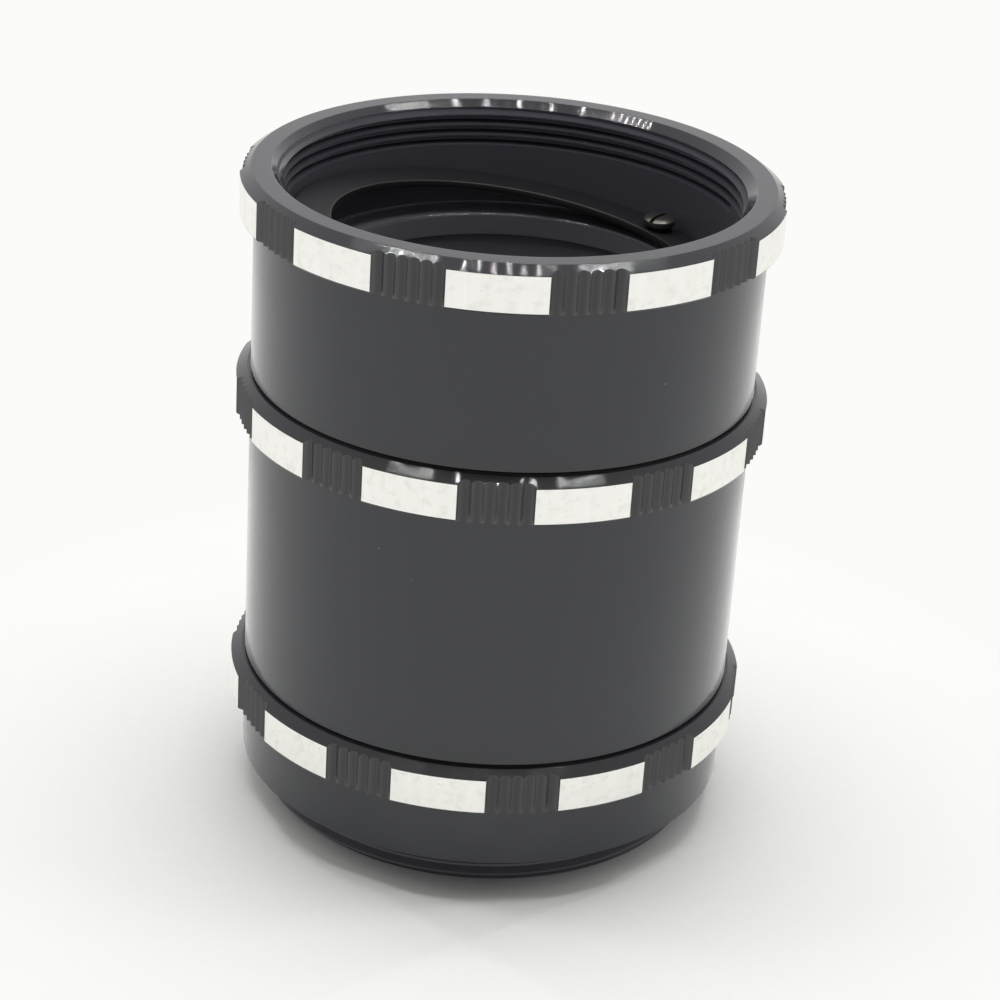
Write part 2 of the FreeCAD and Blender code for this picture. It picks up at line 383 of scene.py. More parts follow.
def paint_ridge_highlight_and_wear(material):
    """Draw the ridges between the flutes lighter: thinner dye where hands rub them, and a painted highlight.
    """
    tree = material.node_tree
    base = tree.nodes["Principled BSDF"].inputs["Base Color"]
    coords = add_node(tree, "ShaderNodeTexCoord", {}, {})
    parts = add_node(tree, "ShaderNodeSeparateXYZ", {"Vector": ring_coordinates(tree, coords)}, {})
    span = {"From Min": (RIDGE_RADIUS - RIDGE_FADE) * MM, "From Max": RIDGE_RADIUS * MM}
    ridge_share = add_node(tree, "ShaderNodeMapRange", {"Value": parts.outputs["X"]}, span)
    tones = {0: ridge_share.outputs["Result"], COLOUR_A: base.links[0].from_socket}
    lightened = add_node(tree, "ShaderNodeMix", tones, {COLOUR_B: linear(RIDGE_WEAR_AND_HIGHLIGHT_HEX)}, data_type="RGBA")
    tree.links.new(lightened.outputs[COLOUR_OUT], base)


print("ridges are rubbed over the outer", RIDGE_FADE, "mm")

# %% [markdown]
# Each black surface of the set was made and used in its own way: blasted, fluted, bored, threaded,
# faced or stamped. Some of them also hold painted light and shade: the bore, the light path and the
# thread's roots are drawn paler, the thread's upper flanks darker, and the flutes' ridges carry a
# painted highlight. One material with masks could hold them all, but a material for each surface is
# easier to read and to match. A comment says what each one gives the eye.

# %% The black finishes
SATIN_IOR = 1.64
RIM_IOR = 1.4
DUST_BLOOM = 0.7
BLOOM_SPREAD = 0.25
RELAY_GLOSS = 0.2
THREAD_GLOSS = 0.15

# The blasted wall looks nearly black and a little blue in front, with a pale bloom towards its edges
outer_black = black_anodised(
    "satin_black_anodised_aluminium", "171b25", "1c202a", roughness=0.15, turning_depth=0.001)
satin = outer_black.node_tree.nodes["Principled BSDF"].inputs
satin["IOR"].default_value = SATIN_IOR
satin["Sheen Weight"].default_value = DUST_BLOOM
satin["Sheen Roughness"].default_value = BLOOM_SPREAD
# The flutes are duller than the wall, and their ridges are drawn grey: rubbed dye and a painted highlight
flute_black = black_anodised(
    "black_anodised_flutes_rubbed_and_highlit", "1f2023", "252629", roughness=0.32, turning_depth=0.003)
paint_ridge_highlight_and_wear(flute_black)
# The bore is matt, so that it throws no stray light. It is drawn a dark grey, paler than the dye, as painted
# light that lifts the shade inside the bore
inner_black = black_anodised(
    "matt_black_anodised_bore_painted_pale", "34343c", "3a3a42", roughness=0.5, turning_depth=0.004)
# The light path below the seat is as matt as the bore, and drawn paler still: painted light that lifts its
# shade. The nose takes it too, for the shade round it at the floor
path_black = black_anodised(
    "matt_black_anodised_light_path_painted_pale", "5c5c64", "62626a", roughness=0.5, turning_depth=0.004)
# The thread's faces that look up are drawn dark and dull, as painted shade where light falls on them, and its
# roots pale, as painted light in their shade
thread_black = black_anodised(
    "black_anodised_thread_flank_painted_dark", "282830", "2e2e36", roughness=0.5, turning_depth=0.002)
root_black_painted_pale = black_anodised(
    "black_anodised_root_painted_pale", "84848e", "8c8c96", roughness=0.6, turning_depth=0.002)
# The faced rims are glossy, with a short bright streak under each lamp
rim_black = black_anodised(
    "fine_turned_black_anodised_rim", "2c2c30", "323236", roughness=0.08, turning_depth=0.007)
rim_black.node_tree.nodes["Principled BSDF"].inputs["IOR"].default_value = RIM_IOR
comb(rim_black)
# The relay rings are the darkest and dullest pieces
relay_black = black_anodised(
    "dull_black_anodised_stamping", "0d0d10", "111115", roughness=0.55, turning_depth=0.003)
for material, gloss in ((relay_black, RELAY_GLOSS), (thread_black, THREAD_GLOSS), (root_black_painted_pale, THREAD_GLOSS)):
    material.node_tree.nodes["Principled BSDF"].inputs["Specular IOR Level"].default_value = gloss
barrel_blacks = (rim_black, flute_black, inner_black, path_black, thread_black, root_black_painted_pale)
print("black finishes:", [material.name for material in (outer_black, *barrel_blacks, relay_black)])

# %% [markdown]
# The grip pads were skimmed on the lathe after the dye, so they are bare bright aluminium. Skimming
# leaves rings too fine to see, a faint upright banding from chatter and a few hair scratches.
# Bare metal has no clear skin: its colour is the colour of what it reflects. The same function also
# makes the steel of the screws and pins and the rubbed edges of the relay rings.

# %% Bare turned metal
# Chatter and hair scratches are drawn as coarse as they need to show
CHATTER_PITCH = 0.9
CHATTER_DETAIL = 3
UPRIGHT_STRETCH = 0.02
SCRATCH_WIDTH = 0.05
SCRATCH_DETAIL = 2
SCRATCH_TURN = (0.5, 0.3, 0.2)
SCRATCH_STRETCH = (1, 0.06, 0.4)
SCRATCH_DEPTH = 0.001
METAL_ROUGHNESS_SPREAD = 0.04


def bare_metal(name, tone, tone_dull, roughness):
    """Bare turned metal with faint upright bands and scattered fine scratches."""
    material, tree, shader = new_material(name)
    shader.inputs["Metallic"].default_value = 1
    coords = add_node(tree, "ShaderNodeTexCoord", {}, {})
    here = {"Vector": coords.outputs["Object"]}
    upright = add_node(tree, "ShaderNodeMapping", here, {"Scale": (1, 1, UPRIGHT_STRETCH)})
    pitch = {"Scale": 1 / (CHATTER_PITCH * MM), "Detail": CHATTER_DETAIL}
    bands = add_node(tree, "ShaderNodeTexNoise", {"Vector": upright.outputs["Vector"]}, pitch)
    tones = {COLOUR_A: linear(tone), COLOUR_B: linear(tone_dull)}
    colour = add_node(tree, "ShaderNodeMix", {0: bands.outputs["Fac"]}, tones, data_type="RGBA")
    tree.links.new(colour.outputs[COLOUR_OUT], shader.inputs["Base Color"])
    slant = {"Rotation": SCRATCH_TURN, "Scale": SCRATCH_STRETCH}
    slanted = add_node(tree, "ShaderNodeMapping", here, slant)
    width = {"Scale": 1 / (SCRATCH_WIDTH * MM), "Detail": SCRATCH_DETAIL}
    hairs = add_node(tree, "ShaderNodeTexNoise", {"Vector": slanted.outputs["Vector"]}, width)
    limits = {"To Min": roughness - METAL_ROUGHNESS_SPREAD, "To Max": roughness + METAL_ROUGHNESS_SPREAD}
    spread = add_node(tree, "ShaderNodeMapRange", {"Value": hairs.outputs["Fac"]}, limits)
    tree.links.new(spread.outputs["Result"], shader.inputs["Roughness"])
    depth = {"Distance": SCRATCH_DEPTH * MM}
    relief = add_node(tree, "ShaderNodeBump", {"Height": hairs.outputs["Fac"]}, depth)
    tree.links.new(relief.outputs["Normal"], shader.inputs["Normal"])
    return material


# Pads look silvery white, steel a warm mid grey, and rubbed edges a darker neutral grey. The steel is drawn
# darker than clean bright steel, as painted shade for the dark bore that the screw heads reflect
pad_metal = bare_metal("bright_cut_aluminium", "fdfcf8", "f3f2ed", roughness=0.4)
steel = bare_metal("turned_bright_steel_painted_dark", "6b6965", "575550", roughness=0.4)
worn_edge = bare_metal("rubbed_bare_aluminium_edge", "5c5b5a", "484746", roughness=0.35)
print("bare metals:", pad_metal.name, steel.name, worn_edge.name)

# %% [markdown]
# Bare pads that are handled collect faint finger marks and a few grey specks. Both could be modelled
# in the roughness, but on a bright pad they show first as a change of tone, so they go into the
# colour: a soft cloud for the marks, and the same specks as on the black skin, only closer.

# %% Marks on the pads
# The specks are drawn as coarse as they need to show
MARK_SIZE = 0.9
MARK_DETAIL = 6
MARK_STARTS = 0.52
MARK_FULL = 0.75
MARK_STRENGTH = 0.35
MARK_HEX = "cfccc4"
SOIL_SPACING = 0.75
SOIL_RADIUS = 0.04
SOIL_HEX = "a19d95"


def soil(material):
    """Faint finger marks and a few grey specks, which a bare skimmed face soon collects."""
    tree = material.node_tree
    base = tree.nodes["Principled BSDF"].inputs["Base Color"]
    coords = add_node(tree, "ShaderNodeTexCoord", {}, {})
    size = {"Scale": 1 / (MARK_SIZE * MM), "Detail": MARK_DETAIL}
    cloud = add_node(tree, "ShaderNodeTexNoise", {"Vector": coords.outputs["Object"]}, size)
    span = {"From Min": MARK_STARTS, "From Max": MARK_FULL, "To Max": MARK_STRENGTH}
    marks = add_node(tree, "ShaderNodeMapRange", {"Value": cloud.outputs["Fac"]}, span)
    tones = {0: marks.outputs["Result"], COLOUR_A: base.links[0].from_socket}
    marked = add_node(tree, "ShaderNodeMix", tones, {COLOUR_B: linear(MARK_HEX)}, data_type="RGBA")
    grit = {0: specks(tree, coords, SOIL_SPACING, SOIL_RADIUS), COLOUR_A: marked.outputs[COLOUR_OUT]}
    soiled = add_node(tree, "ShaderNodeMix", grit, {COLOUR_B: linear(SOIL_HEX)}, data_type="RGBA")
    tree.links.new(soiled.outputs[COLOUR_OUT], base)


soil(pad_metal)
print(pad_metal.name, "has", len(pad_metal.node_tree.nodes), "nodes")

# %% [markdown]
# The pieces are modelled in millimetres, because such small sizes are easier to read that way, and
# each finished mesh is brought to metres. Everything round starts as half a cross-section, drawn
# point by point from one vertex as on squared paper, and is then spun about the axis like work on
# a lathe. Its corners are broken first, since a real edge is never perfectly sharp.

# %% Lathe
SPIN_STEPS = 180
EDGE_SEGMENTS = 2
MERGE_DISTANCE = 0.0002


def drawn(name, section, base_z=0):
    """Draw a section of (radius, height) corners, left in edit mode. Off the axis its outline is closed."""
    bpy.ops.object.select_all(action="DESELECT")
    bpy.ops.mesh.primitive_plane_add(size=1, location=(0, 0, 0))
    piece = bpy.context.object
    piece.name = name
    bpy.ops.object.mode_set(mode="EDIT")
    bpy.ops.mesh.merge(type="CENTER")
    bpy.ops.transform.translate(value=(section[0][0], 0, base_z + section[0][1]))
    ahead = section[1:] + section[:1] if section[0][0] else section[1:]
    for here, there in zip(section, ahead):
        step = (there[0] - here[0], 0, there[1] - here[1])
        bpy.ops.mesh.extrude_region_move(TRANSFORM_OT_translate={"value": step})
    bpy.ops.mesh.select_all(action="SELECT")
    bpy.ops.mesh.remove_doubles(threshold=MERGE_DISTANCE)
    return piece


def turned(name, section, edge_break, steps):
    """Break the corners of a drawn section and spin it about the axis."""
    piece = drawn(name, section)
    bpy.ops.mesh.bevel(offset=edge_break, segments=EDGE_SEGMENTS, affect="VERTICES")
    bpy.ops.mesh.select_all(action="SELECT")
    bpy.ops.mesh.spin(steps=steps, angle=math.tau, center=(0, 0, 0), axis=(0, 0, 1))
    bpy.ops.mesh.select_all(action="SELECT")
    bpy.ops.mesh.remove_doubles(threshold=MERGE_DISTANCE)
    bpy.ops.mesh.normals_make_consistent(inside=False)
    bpy.ops.object.mode_set(mode="OBJECT")
    return piece


print("one step of the lathe turns by", 360 / SPIN_STEPS, "degrees")

# %% [markdown]
# Flutes, threads, holes and slots are cut out of the turned pieces. Faces could be inset and pushed
# in, but only a Boolean cut leaves the edge that a real cutter leaves on a round wall. A cutter
# reaches past the face that it enters, so that no two faces lie in one plane.

# %% Drills and cuts
DRILL_PAST = 1


def drills(name, spots, radius, low, high, corners):
    """One mesh of upright round cutters at (x, y) spots."""
    bpy.ops.object.select_all(action="DESELECT")
    depth = high - low
    for number, (x, y) in enumerate(spots):
        middle = (x, y, (low + high) / 2)
        bpy.ops.mesh.primitive_cylinder_add(vertices=corners, radius=radius, depth=depth, location=middle)
        if number == 0:
            cutter = bpy.context.object
            cutter.name = name
            bpy.ops.object.transform_apply(location=True, rotation=False, scale=False)
            bpy.ops.object.mode_set(mode="EDIT")
    bpy.ops.object.mode_set(mode="OBJECT")
    return cutter


def cut(piece, cutter):
    """Take the cutter's shape away from the piece, and throw the cutter away."""
    bpy.ops.object.select_all(action="DESELECT")
    bpy.context.view_layer.objects.active = piece
    bpy.ops.object.modifier_add(type="BOOLEAN")
    tool = piece.modifiers[-1]
    tool.operation = "DIFFERENCE"
    tool.solver = "EXACT"
    tool.object = cutter
    bpy.ops.object.modifier_apply(modifier=tool.name)
    bpy.data.objects.remove(cutter)


print("drills reach", DRILL_PAST, "mm past the face that they enter")

# %% [markdown]
# Cutting leaves slivers along the edges, as on a real bench, so a cut piece is deburred before it is
# brought to metres. It could be smoothed all over, but then its chamfers would look swollen. Edges
# above an angle stay sharp, and weighted normals keep the flat faces flat. The finished piece stands
# for its node and rides on the node's body.

# %% Finishing of a piece
SLIVER = 0.001
SMOOTH_ANGLE = math.radians(35)


def place(piece):
    """Move a piece's place, turn and scale into its mesh."""
    bpy.ops.object.select_all(action="DESELECT")
    piece.select_set(True)
    bpy.context.view_layer.objects.active = piece
    bpy.ops.object.transform_apply(location=True, rotation=True, scale=True)


def deburr(piece):
    """Clear away the slivers that cutting leaves, as a file clears burrs."""
    bpy.ops.object.select_all(action="DESELECT")
    bpy.context.view_layer.objects.active = piece
    bpy.ops.object.mode_set(mode="EDIT")
    bpy.ops.mesh.select_all(action="SELECT")
    bpy.ops.mesh.remove_doubles(threshold=SLIVER)
    bpy.ops.mesh.dissolve_degenerate(threshold=SLIVER)
    bpy.ops.object.mode_set(mode="OBJECT")


def finished(piece, body, node):
    """Bring a piece to metres, smooth it with its flat faces kept flat, and put it for its node."""
    deburr(piece)
    piece.scale = (MM, MM, MM)
    place(piece)
    bpy.ops.object.shade_smooth_by_angle(angle=SMOOTH_ANGLE)
    bpy.ops.object.modifier_add(type="WEIGHTED_NORMAL")
    level = piece.modifiers[-1]
    level.keep_sharp = True
    bpy.ops.object.modifier_apply(modifier=level.name)
    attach(piece, body)
    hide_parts(node)
    print(piece.name, "faces", len(piece.data.polygons), "for", node)


print("edges over", round(math.degrees(SMOOTH_ANGLE)), "degrees stay sharp")

# %% [markdown]
# A barrel is one turned piece. From the outside in, its section has the threaded nose with a lead-in
# and an undercut, a small relief at the foot (the dark line above each ring), the plain wall, the
# grip band with a wide chamfer, the flat rim, the countersunk mouth, the seat of the relay and the
# light path. It could be built up from cylinders, but one section keeps every step in line.
# The front mouth of the top tube is open to view, so it is bored to the thread's crest and tapped
# below. The mouths of the lower tubes hold a nose and keep the thread's outer size.

# %% Barrel blanks
NOSE_LENGTH = 3.0
NOSE_CREST = 20.95
NOSE_ROOT = 20.35
LEAD_IN = 0.4
UNDERCUT = 0.5
LIGHT_RADIUS = 16.8
BARREL_RADIUS = 23.0
FOOT_RADIUS = 22.6
FOOT_HEIGHT = 0.22
GRIP_RADIUS = 24.3
BAND_HEIGHT = 4.18
BAND_FOOT_CHAMFER = 0.16
RIM_CHAMFER_WIDTH = 1.0
RIM_CHAMFER_HEIGHT = 0.68
FEMALE_RADIUS = 21.05
FEMALE_DEPTH = 4.0
BORE_RADIUS = 20.4
RIM_INNER = 21.55
SEAT_DEPTH = 9.9
SEAT_CHAMFER = 0.15
LIP_HEIGHT = 2.1
LIP_UNDERCUT = 0.3
EDGE_BREAK = 0.05


def barrel_blank(tube, tapped):
    """The turned blank of one tube, before its grip is fluted and its threads are cut."""
    nose_z, face_z = frame_heights(tube)
    shoulder_z = nose_z + NOSE_LENGTH
    mouth_radius = BORE_RADIUS if tapped else FEMALE_RADIUS
    seat_z = face_z - SEAT_DEPTH
    section = [
        (LIGHT_RADIUS + LIP_UNDERCUT, nose_z),
        (NOSE_CREST - LEAD_IN, nose_z),
        (NOSE_CREST, nose_z + LEAD_IN),
        (NOSE_CREST, shoulder_z - UNDERCUT),
        (NOSE_ROOT, shoulder_z - UNDERCUT),
        (NOSE_ROOT, shoulder_z),
        (FOOT_RADIUS, shoulder_z),
        (FOOT_RADIUS, shoulder_z + FOOT_HEIGHT),
        (BARREL_RADIUS, shoulder_z + FOOT_HEIGHT),
        (BARREL_RADIUS, face_z - BAND_HEIGHT),
        (GRIP_RADIUS - BAND_FOOT_CHAMFER, face_z - BAND_HEIGHT),
        (GRIP_RADIUS, face_z - BAND_HEIGHT + BAND_FOOT_CHAMFER),
        (GRIP_RADIUS, face_z - RIM_CHAMFER_HEIGHT),
        (GRIP_RADIUS - RIM_CHAMFER_WIDTH, face_z),
        (RIM_INNER, face_z),
        (mouth_radius, face_z - RIM_INNER + mouth_radius),
    ]
    if not tapped:
        section += [(FEMALE_RADIUS, face_z - FEMALE_DEPTH), (BORE_RADIUS, face_z - FEMALE_DEPTH)]
    section += [
        (BORE_RADIUS, seat_z),
        (LIGHT_RADIUS + SEAT_CHAMFER, seat_z),
        (LIGHT_RADIUS, seat_z - SEAT_CHAMFER),
        (LIGHT_RADIUS, seat_z - LIP_HEIGHT),
        (LIGHT_RADIUS + LIP_UNDERCUT, seat_z - LIP_HEIGHT),
    ]
    return turned(tube + "_turned_barrel", section, EDGE_BREAK, SPIN_STEPS)


barrels = {tube: barrel_blank(tube, tube == TOP_TUBE) for tube in TUBES}
for piece in barrels.values():
    print(piece.name, "blank faces", len(piece.data.polygons))

# %% [markdown]
# The grip has ten bright pads with six round flutes between each pair. On the real ring a round
# cutter ran straight down past the chamfer, which leaves the row of small arches above each gap.
# Boolean cuts with round bars give the same arches. Neighbouring bars overlap, which makes the
# ridges between the flutes, so every second bar is cut in a pass of its own.

# %% Fluted grip
PAD_COUNT = 10
PAD_ANGLE = 20.2
FLUTES_PER_GAP = 6
FLUTE_BOTTOM = 23.8
FLUTE_RADIUS = 0.67
FLUTE_CORNERS = 24
FLUTE_PASSES = 2
FLUTE_RUN_OUT = 0.6
# Degrees round the axis at which one pad of each tube stands, as the tubes are screwed together
GRIP_ANGLES = {"short": -113.0, "long": -122.5, "medium": -106.8}


def flute_spots(grip_angle, start):
    """Every second flute of all gaps, from the first or the second one on."""
    centre = FLUTE_BOTTOM + FLUTE_RADIUS
    half_width = math.sqrt(FLUTE_RADIUS ** 2 - (centre - GRIP_RADIUS) ** 2)
    edge = math.degrees(half_width / GRIP_RADIUS)
    pad_pitch = 360 / PAD_COUNT
    pitch = (pad_pitch - PAD_ANGLE - 2 * edge) / (FLUTES_PER_GAP - 1)
    spots = []
    for pad in range(PAD_COUNT):
        first = grip_angle + pad * pad_pitch + PAD_ANGLE / 2 + edge
        for flute in range(start, FLUTES_PER_GAP, FLUTE_PASSES):
            angle = math.radians(first + flute * pitch)
            spots.append((centre * math.cos(angle), centre * math.sin(angle)))
    return spots


for tube in TUBES:
    face_z = frame_heights(tube)[1]
    low = face_z - BAND_HEIGHT - FLUTE_RUN_OUT
    high = face_z + DRILL_PAST
    for start in range(FLUTE_PASSES):
        spots = flute_spots(GRIP_ANGLES[tube], start)
        cut(barrels[tube], drills("flute_cutter", spots, FLUTE_RADIUS, low, high, FLUTE_CORNERS))
    print(tube, "grip fluted, faces", len(barrels[tube].data.polygons))

# %% [markdown]
# The screw mount has a fine thread of 1 mm pitch. A tap or a die cuts a V groove that climbs by one
# pitch a turn. Stacked rings would look alike from afar, but they don't climb. The groove comes from
# a small closed section with a Screw modifier, and a Boolean cut, so that the thread runs out
# through the lead-in and the countersink as a real one.

# %% Threads
THREAD_PITCH = 1.0
V_ANGLE = 60
FLANK = math.tan(math.radians(V_ANGLE / 2))
ROOT_FLAT = 0.06
THREAD_STEPS = 120
CUTTER_PAST = 0.12
NOSE_TURNS = 3
MOUTH_TURNS = 4


def thread_cutter(root, outside, start_z, turns):
    """A V section from its narrow root to its wide open side, wound up along the axis."""
    wide = ROOT_FLAT + abs(outside - root) * FLANK
    corners = [(root, -ROOT_FLAT), (outside, -wide), (outside, wide), (root, ROOT_FLAT)]
    cutter = drawn("thread_cutter", corners, start_z)
    bpy.ops.object.mode_set(mode="OBJECT")
    bpy.ops.object.modifier_add(type="SCREW")
    winding = cutter.modifiers[-1]
    winding.screw_offset = THREAD_PITCH
    winding.iterations = turns
    winding.steps = THREAD_STEPS
    winding.render_steps = THREAD_STEPS
    bpy.ops.object.modifier_apply(modifier=winding.name)
    bpy.ops.object.mode_set(mode="EDIT")
    bpy.ops.mesh.select_all(action="SELECT")
    bpy.ops.mesh.remove_doubles(threshold=MERGE_DISTANCE)
    bpy.ops.mesh.fill_holes(sides=len(corners))
    bpy.ops.mesh.normals_make_consistent(inside=False)
    bpy.ops.object.mode_set(mode="OBJECT")
    return cutter


for tube in TUBES:
    die_z = frame_heights(tube)[0] - THREAD_PITCH / 2
    cut(barrels[tube], thread_cutter(NOSE_ROOT, NOSE_CREST + CUTTER_PAST, die_z, NOSE_TURNS))
tap_z = frame_heights(TOP_TUBE)[1] - FEMALE_DEPTH
cut(barrels[TOP_TUBE], thread_cutter(FEMALE_RADIUS, BORE_RADIUS - CUTTER_PAST, tap_z, MOUTH_TURNS))
for piece in barrels.values():
    print(piece.name, "threaded, faces", len(piece.data.polygons))

# %% [markdown]
# The pin and the two screws of each relay sit in drilled holes. They could be left out where they are
# hidden, but a pin has to slide in its hole, which shows from below in the end of the nose. The
# holes are cut after the threads, in the order of work at the bench.

# %% Drilled holes
PIN_HOLE_RADIUS = 0.95
SCREW_HOLE_RADIUS = 0.72
SCREW_HOLE_DEPTH = 1.82
HOLE_CORNERS = 32
PIVOT_CIRCLE = 18.25
PIVOT_ANGLE = math.radians(26)
PIVOT_SPOTS = [
    (PIVOT_CIRCLE * math.cos(PIVOT_ANGLE), side * PIVOT_CIRCLE * math.sin(PIVOT_ANGLE)) for side in (-1, 1)
]


def pin_spot(tube):
    """Middle of a tube's push pin, seen from above."""
    low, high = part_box(tube + "_push_pin")
    return ((low.x + high.x) / 2 / MM, (low.y + high.y) / 2 / MM)


for tube, piece in barrels.items():
    nose_z, face_z = frame_heights(tube)
    seat_z = face_z - SEAT_DEPTH
    entry_z = seat_z + DRILL_PAST
    exit_z = nose_z - DRILL_PAST
    cut(piece, drills("pin_drill", [pin_spot(tube)], PIN_HOLE_RADIUS, exit_z, entry_z, HOLE_CORNERS))
    bottom_z = seat_z - SCREW_HOLE_DEPTH
    cut(piece, drills("screw_drill", PIVOT_SPOTS, SCREW_HOLE_RADIUS, bottom_z, entry_z, HOLE_CORNERS))
    print(piece.name, "drilled, faces", len(piece.data.polygons))

# %% [markdown]
# Every face of a barrel then gets its finish: bright pads where the skim ran, black flutes between
# them, fine turned rims, a matt bore, nose and light path, threads and the satin wall. The bore, the
# nose, the light path and the thread take tones that hold painted light and shade. Faces could be
# picked by hand, but the cuts have left thousands of them. A rule on where a face lies and which way
# it looks holds for all three barrels.

# %% Finish of each face
# Numbers of a barrel's material slots, in the order in which they are filled below
SATIN, PAD, RIM, FLUTE, BORE, PATH, THREAD, ROOT = range(8)
# How far a face looks up, as the z of its normal. The flank of a thread looks up more than 0.8, and
# the countersink above it less
UPRIGHT = 0.1
FACING_UP = 0.5
THREAD_FLANK = 0.8
LYING_FLAT = 0.95
# How far a face may look away from the axis and still line the bore
FACING_OUT = -0.2
# Room round the place where a face should lie
NEAR = 0.02
CREST_ROOM = 0.05
ROOT_ROOM = 0.1
SEAT_ROOM = 0.1
SEAT_EDGE = 2 * SEAT_CHAMFER
RIM_REACH = 2 * RIM_CHAMFER_HEIGHT


def finish_of(centre, normal, nose_z, face_z):
    """Which finish a face of the barrel has, by where it lies and which way it looks."""
    radius = math.hypot(centre.x, centre.y)
    inward = -(normal.x * centre.x + normal.y * centre.y) / radius
    below = face_z - centre.z
    if radius > GRIP_RADIUS - NEAR and abs(normal.z) < UPRIGHT:
        return PAD
    if radius > BARREL_RADIUS + NEAR and abs(normal.z) < UPRIGHT:
        return FLUTE
    on_rim = below < RIM_REACH and (radius > RIM_INNER or normal.z < THREAD_FLANK)
    on_seat_edge = abs(below - SEAT_DEPTH) < SEAT_EDGE and radius < LIGHT_RADIUS + SEAT_EDGE
    if normal.z > FACING_UP and (on_rim or on_seat_edge and normal.z < LYING_FLAT):
        return RIM
    # The nose and the light path take the paler black, as painted light in their shade
    on_nose = centre.z < nose_z + NOSE_LENGTH and radius < NOSE_CREST + NEAR
    if on_nose or below > SEAT_DEPTH - NEAR and radius < BORE_RADIUS:
        return PATH
    in_groove = BORE_RADIUS + CREST_ROOM < radius < FEMALE_RADIUS + ROOT_ROOM
    # Up-facing thread faces get the darker black and the roots the pale one: painted shade and painted light
    if in_groove and below < FEMALE_DEPTH + THREAD_PITCH:
        return THREAD if normal.z > FACING_UP else ROOT
    # The bore takes a black that is paler than the dye: painted light in its shade
    if radius < BORE_RADIUS + NEAR and inward > FACING_OUT and below < SEAT_DEPTH + SEAT_ROOM:
        return BORE
    return SATIN


for tube, piece in barrels.items():
    nose_z, face_z = frame_heights(tube)
    for material in (outer_black, pad_metal, *barrel_blacks):
        piece.data.materials.append(material)
    for face in piece.data.polygons:
        face.material_index = finish_of(face.center, face.normal, nose_z, face_z)
    finished(piece, tube + "_tube", tube + "_barrel")

# %% [markdown]
# The relay ring is a flat stamping, blackened, with its two long edges rubbed to bare metal. Its heel
# is cut straight, so that it rocks on that edge, and two holes leave room for the screws. It could
# be modelled as it lies, but flat is easier. One ring is turned, cut, drilled and moved until its
# heel is on the origin. Each tube gets a copy of it, laid on its seat and raised at the pin side.

# %% Relay rings
RELAY_OUTER = 20.0
RELAY_INNER = 16.5
RELAY_THICKNESS = 0.8
RELAY_EDGE_BREAK = 0.12
HEEL_X = 19.2
PIN_CIRCLE = 18.575
PIN_LIFT = 4.8
RELAY_TILT = math.atan(PIN_LIFT / (HEEL_X + PIN_CIRCLE))
PIVOT_HOLE_RADIUS = 1.15
# Numbers of a ring's material slots
BLACK, RUBBED = range(2)
# A broken edge looks up or down by more than a wall and by less than a level face
EDGE_STEEPEST = 0.2
EDGE_FLATTEST = 0.98


def flat_relay_ring():
    """One stamped ring that lies flat, with its heel on the origin."""
    section = [
        (RELAY_INNER, 0),
        (RELAY_OUTER, 0),
        (RELAY_OUTER, RELAY_THICKNESS),
        (RELAY_INNER, RELAY_THICKNESS),
    ]
    piece = turned("flat_relay_ring", section, RELAY_EDGE_BREAK, SPIN_STEPS)
    bpy.ops.object.mode_set(mode="EDIT")
    bpy.ops.mesh.select_all(action="SELECT")
    bpy.ops.mesh.bisect(plane_co=(HEEL_X, 0, 0), plane_no=(1, 0, 0), use_fill=True, clear_outer=True)
    bpy.ops.object.mode_set(mode="OBJECT")
    entry_z = RELAY_THICKNESS + DRILL_PAST
    cut(piece, drills("pivot_drill", PIVOT_SPOTS, PIVOT_HOLE_RADIUS, -DRILL_PAST, entry_z, HOLE_CORNERS))
    piece.data.materials.append(relay_black)
    piece.data.materials.append(worn_edge)
    for face in piece.data.polygons:
        on_edge = EDGE_STEEPEST < abs(face.normal.z) < EDGE_FLATTEST
        face.material_index = RUBBED if on_edge else BLACK
    bpy.ops.object.mode_set(mode="EDIT")
    bpy.ops.mesh.select_all(action="SELECT")
    bpy.ops.transform.translate(value=(-HEEL_X, 0, 0))
    bpy.ops.object.mode_set(mode="OBJECT")
    return piece


def copied(piece, name):
    """A copy of a piece, with a mesh of its own."""
    bpy.ops.object.select_all(action="DESELECT")
    piece.select_set(True)
    bpy.context.view_layer.objects.active = piece
    bpy.ops.object.duplicate()
    copy = bpy.context.object
    copy.name = name
    return copy


flat_ring = flat_relay_ring()
for tube in TUBES:
    ring = copied(flat_ring, tube + "_stamped_relay_ring")
    ring.location = (HEEL_X, 0, frame_heights(tube)[1] - SEAT_DEPTH)
    ring.rotation_euler = (0, RELAY_TILT, 0)
    place(ring)
    finished(ring, tube + "_relay", tube + "_relay_ring")
bpy.data.objects.remove(flat_ring)

# %% [markdown]
# Two small slotted screws hold the heel of each ring. On the real part their heads are domed on a
# lathe and the slot is sawn, and they are made the same way here. One finished screw could be copied,
# but each slot has stopped at its own angle. So a plain screw is turned once, and each copy of it is
# sawn by itself and set in its hole. The two screws of a tube are one node.

# %% Slotted screws
SCREW_RADIUS = 0.7
SCREW_HOLD = 1.8
SCREW_HEAD_RADIUS = 1.5
SCREW_HEAD_HEIGHT = 0.8
SCREW_DOME = 0.3
# Points of the dome, as shares of the head's radius and of the dome's height below the top
SCREW_CROWN = ((0.75, 0.3), (0.4, 0))
SLOT_WIDTH = 0.4
SLOT_DEPTH = 0.45
SLOT_TURNS = (math.radians(25), math.radians(-50))
SAW_LENGTH = 4.5
SMALL_EDGE_BREAK = 0.04
SMALL_STEPS = 48


